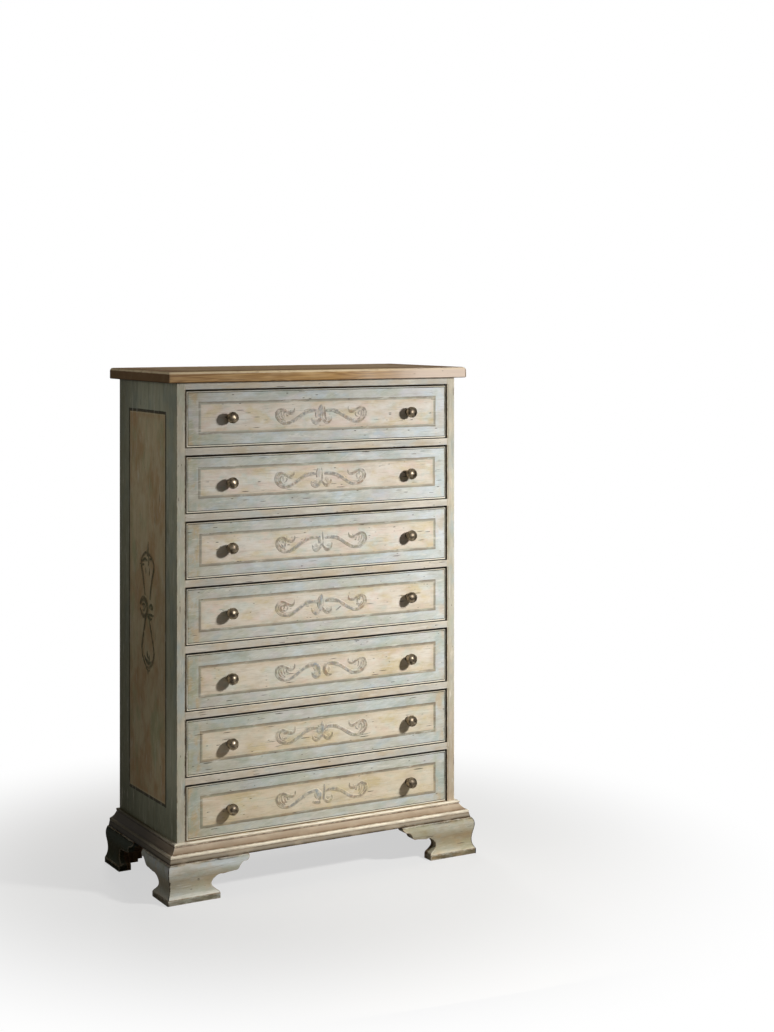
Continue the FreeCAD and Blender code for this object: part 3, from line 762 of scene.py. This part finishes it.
footLook = {
    # The dark toe and the dark line at the top are painted shade, and the pale line above the toe and the
    # pale belly painted highlights
    "bands": [                   # from the floor up, by height in millimetres
        (0, (80, 74, 58)), (3, (112, 104, 86)), (11, (118, 112, 92)),
        (12.6, (148, 142, 124)), (14.2, (226, 222, 208)), (22, (188, 188, 174)),
        (38, (176, 169, 148)), (54, (182, 172, 150)), (66, (198, 198, 186)),
        (80, (206, 212, 212)), (87, (180, 184, 182)), (89.5, (84, 80, 68)),
        (92, (40, 34, 26))],
    "tints": (paintLook["tan"], (182, 190, 190), paintLook["sage"]),
    "rearShade": (84, 92, 78),
    "rightGlaze": (236, 226, 208),
    "overlayStrength": 0.9,
    "wear": ((3 * mm, 0, (206, 202, 186), 0.6), (1.6 * mm, 9, (136, 106, 74), 0.75)),
    "frontSheen": (0.38, 0.3),   # roughness and specular
    "rearSheen": (0.75, 0.05),
}


def footFinish(node, seed):
    low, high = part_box(node)
    look = footLook
    caseLow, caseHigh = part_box("left_side")
    atFront = low.y < 0
    roughness, specular = look["frontSheen"] if atFront else look["rearSheen"]
    paint = Finish(f"{node}Paint", roughness, specular=specular)
    level = wobble(paint, paint.z, seed, 1.2 * mm, 40)
    ground = paint.bands(level, [(place * mm, tone) for place, tone in look["bands"]])
    ground = tonePatches(paint, ground, look["tints"], 0, seed, 16, 0.5)
    colour, height = agedPaint(paint, ground, 0, seed, 0.006)
    outX = abs(paint.x) + caseLow.x
    outY = caseLow.y - paint.y if atFront else paint.y - caseHigh.y
    if atFront:
        mitre = wobble(paint, abs(outX - outY), seed, 0.5 * mm, 60)
        colour = paint.over(colour, paintLook["umber"], mitre, 2.6 * mm, 0.8 * mm, 0.9)
        if low.x > 0:
            colour = paint.mix(look["overlayStrength"], colour, look["rightGlaze"], "MULTIPLY")
    else:
        # Painted shade: the rear feet are darkened
        colour = paint.mix(look["overlayStrength"], colour, look["rearShade"], "MULTIPLY")
    colour = wornArris(paint, colour, paint.attribute("edge"), seed, look["wear"])
    # Painted shade: the inner faces of the feet turn to dark bare wood
    outward = wobble(paint, paint.larger(outX, outY), seed + 3, 1 * mm, 40)
    colour = paint.over(colour, rawWood(paint, 0, seed, "shadedBare")[0], outward, 23 * mm, 17 * mm, 0.9)
    return paint.finish(colour, height=height)


# Knobs

brassLook = {
    "dark": (88, 78, 66),
    "light": (182, 166, 142),
    "dullest": 0.48,             # roughness
    "brightest": 0.34,
}


def brassFinish():
    paint = Finish("antiqueBrass", brassLook["brightest"], 1.0)
    patina = paint.noise(90, 4, 0.6, 2.0)
    colour = paint.over(brassLook["dark"], brassLook["light"], patina, 0.35, 0.7)
    roughness = paint.ramp(patina, 0.3, 0.7, brassLook["dullest"], brassLook["brightest"])
    return paint.finish(colour, roughness, patina, 0.05 * mm)


def dressCase():
    rails = [f"divider_rail_{number}" for number in drawerNumbers[:-1]] + ["top_rail"]
    for index, node in enumerate(rails):
        dress(node, railFinish(f"railPaint{index}", node, 5.1 * index))
    for side, seed in sideLook["seeds"].items():
        dress(f"{side}_side", sideFinish(f"{side}_side", seed))
    easedCopy("top_board", "carcass", topFinish(), 1.0)
    for node, axis in (("front_base_moulding", 0), ("left_base_moulding", 1), ("right_base_moulding", 1)):
        easedCopy(node, "carcass", mouldingFinish(node, axis, 2.0 + axis), 3.0)
    feet = ("front_left_foot", "front_right_foot", "rear_left_foot", "rear_right_foot")
    for index, node in enumerate(feet):
        easedCopy(node, "carcass", footFinish(node, 3.7 * index), 5.0 * index)
    print("eased pieces made")
    lengthwise = rawFinish("bareRail", 0, 1.0)
    deep = rawFinish("bareRunner", 1, 2.0)
    for node in ("bottom_board", "bottom_rail", "top_back_rail", "drawer_stops"):
        dress(node, lengthwise)
    for node in ("left_runners", "right_runners"):
        dress(node, deep)
    dress("foot_glue_blocks", rawFinish("bareBlock", 2, 3.0, "shadedBare"))
    dress("back_panel", rawFinish("backPlywood", 2, 4.0, "backPanel"))
    print("case dressed")


def dressDrawers():
    finishes = {
        "knobs": brassFinish(),
        "sides": rawFinish("drawerSideWood", 1, 6.0),
        "back": rawFinish("drawerBackWood", 0, 7.0),
        "bottom": rawFinish("drawerBottomPly", 0, 8.0, "drawerBottom"),
    }
    for number in drawerNumbers:
        dress(f"drawer_{number}_front", frontFinish(number))
        for part, finish in finishes.items():
            dress(f"drawer_{number}_{part}", finish)
    print("drawers dressed")


# Painted scroll work: brush strokes as thin ridges of paint

scrollLook = {
    "relief": 0.08,               # height of a stroke, as a share of its half width
    "shake": 0.9,                 # how far its points stray, in millimetres
    "widths": (0.85, 1.15),       # and how unevenly it is pressed
    "sideSeed": 40,               # of the strokes; a front's is its number
    "front": {
        "fullness": 2.9,
        "hues": ((122, 104, 84), (126, 140, 148)),
        "tints": ((156, 118, 84), (134, 132, 98), (122, 118, 108)),
        "cover": (0.34, 0.82),    # how much a stroke covers, where thin and where thick
        "shift": 1 * mm,          # of the whole ornament, across
        "seedStep": 4.0,
    },
    "side": {
        "fullness": 3.0,
        "hues": ((98, 88, 58), (72, 82, 54)),
        "tints": ((98, 76, 50), (72, 80, 50), (70, 72, 58)),
        "cover": (0.75, 0.97),
        "shift": 0.5 * mm,
        "height": 663 * mm,
        "seed": 31.0,
    },
}

# Each stroke is its tone and a line of (across, up, half width) in millimetres from the ornament's middle.
# A tone runs from 0, the first hue, to 1, the second; with 1 added it is a thin wash.
stem = [
    (0.45, [(-8, 8, 1.2), (-20, 12.5, 1.6), (-34, 11, 1.8), (-46, 6, 2)]),
    (0.55, [(-40, 9, 1.2), (-52, 3, 1.5), (-66, -6, 1.6), (-80, -15, 1.7), (-92, -19, 1.4)]),
    (0.3, [(-44, 5, 0.5), (-56, -2, 0.9), (-68, -10, 0.9), (-80, -17, 0.7)]),
    (0.15, [(-84, -17, 1.2), (-98, -20.5, 1.6), (-114, -16.5, 1.5), (-124, -6, 1.4), (-126, 4, 1.3),
        (-121.5, 13, 1.3), (-111.5, 16.5, 1.3), (-102, 13, 1.4), (-92, 7, 1.6), (-84, 5, 1.6),
        (-77, 7.5, 1.2), (-74.5, 13, 0.9), (-75.5, 18.5, 0.4)]),
    (0.2, [(-100, -15, 0.4), (-112, -11, 0.9), (-119, -2, 1), (-120, 6, 1), (-114, 13, 0.9),
        (-106, 12, 0.5)]),
]
spiral = [
    (0.2, [(-104, -13, 0.5), (-112, -7, 1.1), (-114, 1, 1.2), (-110, 8, 1.1), (-104, 6, 1), (-102, 0, 0.9),
        (-106, -3, 0.6)]),
    (0.3, [(-96, 3, 0.4), (-91, -1, 1), (-97, -6, 0.8), (-103, -8, 0.3)]),
]
hooks = [
    (0.2, [(-112, 12, 0.4), (-114, 3, 1.2), (-110, -7, 1.1), (-101, -12, 0.5)]),
    (0.15, [(-104, 9, 0.5), (-106, 2, 1.2), (-102, -5, 0.6)]),
    (0.25, [(-92, 0, 0.5), (-97, -3, 1.2), (-99, 4, 0.9), (-95, 9, 0.4)]),
    (0.3, [(-86, 13, 0.4), (-89, 8, 0.9), (-87, 3, 0.4)]),
]
petals = [
    (0.7, [(-106, 14, 0.4), (-110, 8, 1.5), (-106, 2, 0.6)]),
    (0.2, [(-102, 8, 0.5), (-98, 0, 1.6), (-104, -7, 0.6)]),
    (0.4, [(-113, 0, 0.4), (-109, -6, 1.5), (-103, -11, 0.5)]),
]
eyes = [
    (0.1, [(-108, 6, 0.6), (-103, 9, 1.6), (-98, 5, 0.8)]),
    (0.25, [(-111, -3, 0.7), (-106, -7, 1.5), (-98, -6, 0.7)]),
]

# The middle of the ornament: a leaf that stands on two curls, drawn a little differently on each drawer
leaf = [
    (0.9, [(0, 26, 0.4), (-3, 17, 2.2), (-5, 7, 3.1), (-5, -4, 2.8), (-3, -13, 1.2)]),
    (0.3, [(1, 25, 0.3), (3, 14, 1.1), (3, 0, 1.5), (1, -13, 0.9)]),
]
leftCurl = [
    (0.5, [(-1, -6, 0.9), (-4, -14, 1.6), (-11, -19.5, 1.9), (-19, -20, 1.9), (-26, -15, 1.3),
        (-28, -7, 0.6)]),
    (1.2, [(-22, -7, 1), (-17, -11, 2.4), (-11, -10, 1)]),
]
rightCurl = [
    (0.1, [(2, -7, 0.8), (6, -15, 1.4), (13, -20, 1.7), (21, -19.5, 1.7), (28, -13, 1.2), (27, -5, 0.6)]),
    (1.1, [(13, -8, 0.8), (18, -11, 2.2), (23, -8, 1)]),
]
sweep = [
    (0.95, [(-34, 12, 0.7), (-23, 13.5, 1.6), (-13, 9, 2.5), (-7, -2, 3), (-5, -14, 1.4)]),
    (1.8, [(-22, 5, 1), (-15, 1, 2.6), (-13, -8, 1.6)]),
]
lobes = [
    (0.4, [(-13, 16, 0.6), (-8, 11, 2), (-3, 3, 1.2)]),
    (0.5, [(13, 16, 0.6), (9, 10, 2), (4, 2, 1.2)]),
    (0.5, [(-16, 5, 0.6), (-10, 1, 2), (-3, -5, 1.1)]),
    (0.3, [(16, 4, 0.6), (11, -1, 2), (4, -6, 1.1)]),
    (0.7, [(0, 25, 0.6), (0, 14, 2.3), (0, 0, 2.6), (0, -14, 1.4)]),
]
berries = [
    (1.7, [(-22, -9, 1.4), (-16, -13, 3.2), (-10, -10, 1.4)]),
    (1.1, [(12, -11, 1.4), (17, -14, 2.6), (22, -10, 1)]),
    (0.3, [(40, -17, 0.6), (47, -13, 1.2), (54, -7, 0.5)]),
]
hollow = [
    (0.1, [(24, 11, 0.7), (14, 10.5, 1.6), (7, 2, 2.2), (9, -11, 2), (18, -20, 1.6), (29, -17, 0.8)]),
    (1.4, [(19, 1, 0.8), (24, -6, 1.8), (20, -12, 0.8)]),
]
middles = [
    leaf + leftCurl[:1] + rightCurl + [
        (0.0, [(7, 19, 0.6), (9, 8, 1.6), (9, -4, 1.6), (12, -13, 0.7)]),
        (1.9, [(-12, 13, 1.6), (-13, 2, 2.8), (-11, -8, 1.6)])],
    leaf[1:] + leftCurl + rightCurl[:1] + [
        (1.9, [(-6, 23, 1.4), (-7, 13, 3), (-7, 2, 2.2)]),
        (1.0, [(12, 0, 1), (18, -6, 2.4), (22, -13, 1)])],
    leaf[1:] + leftCurl + rightCurl + [(0.9, [(-7, 14, 0.9), (-5, 5, 2.8), (-5, -5, 2)])],
    leaf + leftCurl[:1] + berries + rightCurl[:1],
    sweep + leftCurl + hollow,
    lobes + leftCurl + rightCurl,
    sweep + [
        (0.4, [(-28, -13, 0.8), (-18, -19, 2), (-6, -18, 1.8)]),
        (0.5, [(4, 24, 0.7), (9, 17, 1.6), (5, 4, 1.8), (3, -14, 1.2)])] + rightCurl,
]
leftCurls = [hooks, spiral, petals, eyes + spiral, hooks, eyes, hooks + eyes]
rightCurls = [spiral, petals, hooks, petals + eyes, hooks, spiral, hooks]

# Two drops joined by a rosette, standing on the side; across is towards the back
sideStrokes = [
    (0.1, [(12, 24, 1.4), (20, 60, 2), (32, 90, 2.2), (38, 108, 2), (34, 122, 1.8), (18, 134, 1.8),
        (2, 140, 1.8)]),
    (0.1, [(-18, 24, 1.4), (-24, 55, 2), (-36, 84, 2.2), (-44, 105, 2), (-40, 118, 1.8), (-24, 132, 1.8),
        (-4, 138, 1.8)]),
    (0.2, [(-4, 128, 2.2), (-6, 148, 2.6), (-7, 166, 0.4)]),
    (0.8, [(38, 110, 0.5), (24, 121, 2.8), (8, 124, 2.4), (-2, 117, 0.7)]),
    (0.8, [(48, 107, 0.3), (34, 104, 1.6), (18, 107, 0.9)]),
    (0.8, [(-6, 118, 0.7), (-20, 126, 2.6), (-36, 123, 0.8)]),
    (0.3, [(-14, 100, 0.7), (-16, 91, 1.9), (-12, 83, 0.5)]),
    (0.3, [(10, 99, 0.5), (7, 92, 1.5), (9, 85, 0.4)]),
    (0.1, [(44, 5, 2), (38, 18, 2.8), (22, 25, 3), (5, 20, 3), (-3, 4, 2.8), (2, -14, 2.9),
        (18, -24, 2.9), (36, -19, 2.7), (45, -4, 2)]),
    (0.2, [(33, 3, 0.8), (26, 11, 1.5), (14, 9, 1.3), (11, -2, 1.3), (20, -9, 1.3), (30, -5, 0.7)]),
    (0.3, [(24, 4, 0.8), (18, 1, 1.6), (22, -3, 0.7)]),
    (0.6, [(-10, 3, 1.2), (-20, 10, 2.4), (-32, 12, 2.2), (-36, 6, 2), (-28, 2, 1.7), (-19, 4, 0.8)]),
    (0.8, [(-6, -12, 1.2), (-22, -13, 2.6), (-44, -11, 0.4)]),
    (0.1, [(10, -22, 2.2), (18, -50, 2.2), (29, -76, 2.2), (33, -100, 2.2), (28, -122, 1.8), (14, -138, 1.6),
        (0, -146, 1.4)]),
    (0.1, [(-12, -20, 1.8), (-22, -50, 1.8), (-36, -78, 1.9), (-44, -100, 2.2), (-42, -118, 2.2),
        (-30, -134, 1.8), (-10, -146, 1.6)]),
    (0.8, [(-2, -103, 0.5), (3, -112, 2.4), (-4, -120, 2.4), (-14, -124, 0.8)]),
    (0.7, [(17, -117, 0.5), (8, -126, 2.6), (-4, -132, 3), (-18, -134, 2.8), (-29, -125, 0.6)]),
    (0.6, [(-12, -111, 0.4), (-15, -122, 1.9), (-10, -134, 2.2)]),
    (0.2, [(-4, -140, 1.8), (-6, -150, 2.4), (-5, -161, 0.4)]),
    (0.2, [(8, -147, 0.4), (-5, -152, 1.6), (-18, -149, 0.4)]),
    (0.5, [(-6, 133, 0.8), (-15, 124, 3), (-10, 112, 2.2), (-4, 105, 0.5)]),
    (0.6, [(-1, -8, 1.2), (-6, -21, 3), (-19, -27, 3.1), (-31, -21, 0.8)]),
]


def strokeMesh(points, chance, fullness):
    line = bpy.data.curves.new("stroke", "CURVE")
    line.dimensions = "3D"
    line.bevel_depth = 1.0
    line.bevel_resolution = 2
    line.resolution_u = 5
    line.use_fill_caps = True
    spline = line.splines.new("NURBS")
    spline.points.add(len(points) - 1)
    shake = scrollLook["shake"]
    for point, (across, up, half) in zip(spline.points, points):
        point.co = (across + chance.uniform(-shake, shake), up + chance.uniform(-shake, shake), 0, 1)
        point.radius = half * fullness * chance.uniform(*scrollLook["widths"])
    spline.order_u = 4
    spline.use_endpoint_u = True
    holder = added("stroke", line)
    shape = bpy.data.meshes.new_from_object(holder.evaluated_get(bpy.context.evaluated_depsgraph_get()))
    bpy.data.objects.remove(holder)
    bpy.data.curves.remove(line)
    return shape


# place turns the ornament's own plane (across, up, out) to the board it is painted on
def ornament(name, strokes, place, seed, material, body, fullness):
    chance = random.Random(seed)
    whole = bmesh.new()
    toneLayer = whole.verts.layers.float.new("tone")
    coverLayer = whole.verts.layers.float.new("cover")     # 1 along the middle of a stroke, 0 at its edges
    for tone, points in strokes:
        shape = strokeMesh(points, chance, fullness)
        before = len(whole.verts)
        whole.from_mesh(shape)
        whole.verts.ensure_lookup_table()
        whole.normal_update()
        for vertex in whole.verts[before:]:
            vertex[toneLayer] = tone
            vertex[coverLayer] = abs(vertex.normal.z)
        bpy.data.meshes.remove(shape)
    bmesh.ops.scale(whole, vec=(mm, mm, scrollLook["relief"] * mm), verts=whole.verts)
    bmesh.ops.transform(whole, matrix=place, verts=whole.verts)
    bmesh.ops.recalc_face_normals(whole, faces=whole.faces)
    piece = placed(name, whole, material)
    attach(piece, body)
    return piece


def flipped(strokes):
    return [(tone, [(-across, up, half) for across, up, half in points]) for tone, points in strokes]


# ground gives the paint under the strokes, which shows where they are worn
def strokeFinish(name, ground, seed, look):
    paint = Finish(name, specular=0.22)
    tone = paint.attribute("tone")
    brush = paint.mix(paint.calc("FRACT", tone), *look["hues"])
    for index, tint in enumerate(look["tints"]):
        brush = paint.over(brush, tint, paint.noise(70, 3, 0.6, seed + 9 * index + 3), 0.5, 0.62, 0.7)
    patch = paint.noise(110, 3, 0.65, seed)
    left = paint.ramp(patch, 0.34, 0.6, *look["cover"])
    left = left * paint.ramp(tone, 0.98, 1.0, 1.0, 0.5)
    ragged = patch * 0.5 + paint.attribute("cover") - 0.25
    left = left * paint.ramp(ragged, 0.28, 0.98)
    return paint.finish(paint.mix(left, ground(paint), brush), height=patch, depth=0.2 * mm)


def paintScrolls():
    look = scrollLook["front"]
    for number in drawerNumbers:
        low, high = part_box(f"drawer_{number}_front")
        across, up = (size * mm for size in stripes[number - 1][:2])
        across += look["shift"]
        middle = high.z - frontLook["knobDrop"] + 0.5 * up
        place = Matrix(((1, 0, 0, across), (0, 0, -1, low.y), (0, 1, 0, middle), (0, 0, 0, 1)))
        finish = strokeFinish(f"scrollPaint{number}", lambda paint: frontGround(paint, number),
                              look["seedStep"] * number, look)
        strokes = stem + leftCurls[number - 1] + flipped(stem + rightCurls[number - 1]) + middles[number - 1]
        piece = ornament(f"drawer_{number}_scroll", strokes, place, number, finish, f"drawer_{number}",
                         look["fullness"])
    look = scrollLook["side"]
    for side, facing in (("left", -1), ("right", 1)):
        low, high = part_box(f"{side}_side")
        outside = low.x if facing < 0 else high.x
        across = (low.y + high.y) / 2 + look["shift"]
        place = Matrix(((0, 0, facing, outside), (1, 0, 0, across), (0, 1, 0, look["height"]), (0, 0, 0, 1)))
        seed = sideLook["seeds"][side]
        finish = strokeFinish(f"{side}ScrollPaint", lambda paint: sideGround(paint, seed, low, high),
                              look["seed"], look)
        piece = ornament(f"{side}_side_scroll", sideStrokes, place, scrollLook["sideSeed"], finish, "carcass",
                         look["fullness"])
    print("scrolls painted")


# Floor, light and camera

stageLook = {
    "floor": (196, 194, 190),
    "floorBounce": (112, 110, 106),      # what it throws back on the chest
    "floorHalf": 12.0,                   # half its width
    "floorGlow": 0.6,              # how much of the floor near the chest is plain background
    "glowFrom": 0.5,               # metres from the middle where that grows, and where all of it is
    "glowFull": 1.3,
    "floorGlossyShare": 0.05,      # how much of the background shows in the floor's reflections
    "glossyShare": 0.22,           # and in those of the chest
    "background": (255, 255, 255),
    "fill": 0.072,
    "fillTint": (1.0, 0.93, 0.78),       # shares of the light, as for the lamps
}

lampLook = {
    "key": dict(
        place=(0.96, -1.53, 1.46), target=(0.11, -0.16, 0.22), size=(0.24, 0.24), watts=14.6,
        tint=(0.97, 0.985, 1.0), spread=103),
    "lowFill": dict(
        place=(-0.1, -1.05, 0.12), target=(0, -0.16, 0.15), size=(0.9, 0.25), watts=0.75,
        tint=(1.0, 0.9, 0.76)),
    "sideFill": dict(
        place=(-1.35, -0.12, 1.3), target=(-0.39, 0.0, 0.94), size=(0.1, 0.5), watts=0.42,
        spread=92),
    "cornerFill": dict(
        place=(-0.9, -0.35, 0.2), target=(-0.39, -0.14, 0.27), size=(0.1, 0.1), watts=0.026,
        spread=62),
    "backFill": dict(
        place=(0.9, 1.9, 2.2), target=(0.1, 0.2, 0.7), size=(1.2, 1.2), watts=13.0,
        tint=(1.0, 0.98, 0.94)),
    "backWash": dict(
        place=(0.5, 2.6, 1.5), target=(0.0, 0.2, 0.65), size=(0.6, 0.6), watts=5.0,
        spread=75),
    "shine": dict(                     # seen only as a reflection
        place=(-0.1, -1.6, 1.5), target=(0, -0.2, 0.75), size=(0.7, 0.56), watts=27.0,
        reflected=True),
}

cameraLook = {
    "place": (-2.08872, -4.12127, 1.38157),
    "turn": -29.8895,
    "lens": 63.08,
    "sensor": 36.0,
    "shiftY": -0.1939,
}


def addLamp(name, place, target, size, watts, tint=(1, 1, 1), spread=180, reflected=False):
    lamp = bpy.data.lights.new(name, "AREA")
    lamp.shape = "ELLIPSE"
    lamp.size, lamp.size_y = size
    lamp.energy = watts
    lamp.color = tint
    lamp.spread = math.radians(spread)
    holder = added(name, lamp)
    holder.location = place
    holder.rotation_euler = (Vector(target) - Vector(place)).to_track_quat("-Z", "Y").to_euler()
    holder.visible_camera = False
    holder.visible_glossy = reflected
    holder.visible_diffuse = not reflected


def makeStage():
    shape = bmesh.new()
    bmesh.ops.create_grid(shape, x_segments=1, y_segments=1, size=stageLook["floorHalf"])
    paint = Finish("paleFloor", 0.9, specular=0.1)
    floor = placed("floor", shape, paint.finish(stageLook["floor"]))
    far = paint.node("VectorMath", {0: paint.place}, operation="LENGTH").outputs["Value"]
    glow = paint.ramp(far, stageLook["glowFrom"], stageLook["glowFull"], stageLook["floorGlow"], 1.0)
    fade = glow * paint.seen(stageLook["floorGlossyShare"])
    plain = paint.node("Emission", {"Color": stageLook["background"], "Strength": 1.0})
    dull = paint.node("BsdfDiffuse", {"Color": stageLook["floorBounce"]})
    bounce = paint.rays()["Is Diffuse Ray"]
    body = paint.node("MixShader", {0: bounce, 1: paint.shader.outputs[0], 2: dull.outputs[0]})
    both = paint.node("MixShader", {0: fade, 1: body.outputs[0], 2: plain.outputs[0]})
    paint.feed(paint.tree.nodes["Material Output"].inputs["Surface"], both.outputs[0])


def makeWorld():
    world = bpy.data.worlds.new("studio")
    bpy.context.scene.world = world
    world.use_nodes = True
    sky = NodeTree(world.node_tree)
    fill = sky.tree.nodes["Background"]
    fill.inputs["Color"].default_value = (*stageLook["fillTint"], 1)
    sky.feed(fill.inputs["Strength"], stageLook["fill"])
    plain = sky.node("Background", {"Color": stageLook["background"], "Strength": 1.0})
    seen = sky.seen(stageLook["glossyShare"])
    both = sky.node("MixShader", {0: seen, 1: fill.outputs[0], 2: plain.outputs[0]})
    sky.feed(sky.tree.nodes["World Output"].inputs["Surface"], both.outputs[0])


def makeLight():
    makeWorld()
    for name, lamp in lampLook.items():
        addLamp(name, **lamp)
    bpy.context.scene.view_settings.view_transform = "Standard"


def makeCamera():
    lens = bpy.data.cameras.new("camera")
    lens.lens = cameraLook["lens"]
    lens.sensor_width = cameraLook["sensor"]
    lens.shift_y = cameraLook["shiftY"]
    camera = added("camera", lens)
    camera.location = cameraLook["place"]
    camera.rotation_euler = (math.radians(90), 0, math.radians(cameraLook["turn"]))
    bpy.context.scene.camera = camera


dressCase()
dressDrawers()
paintScrolls()
makeStage()
makeLight()
makeCamera()
print("stage, light and camera set")
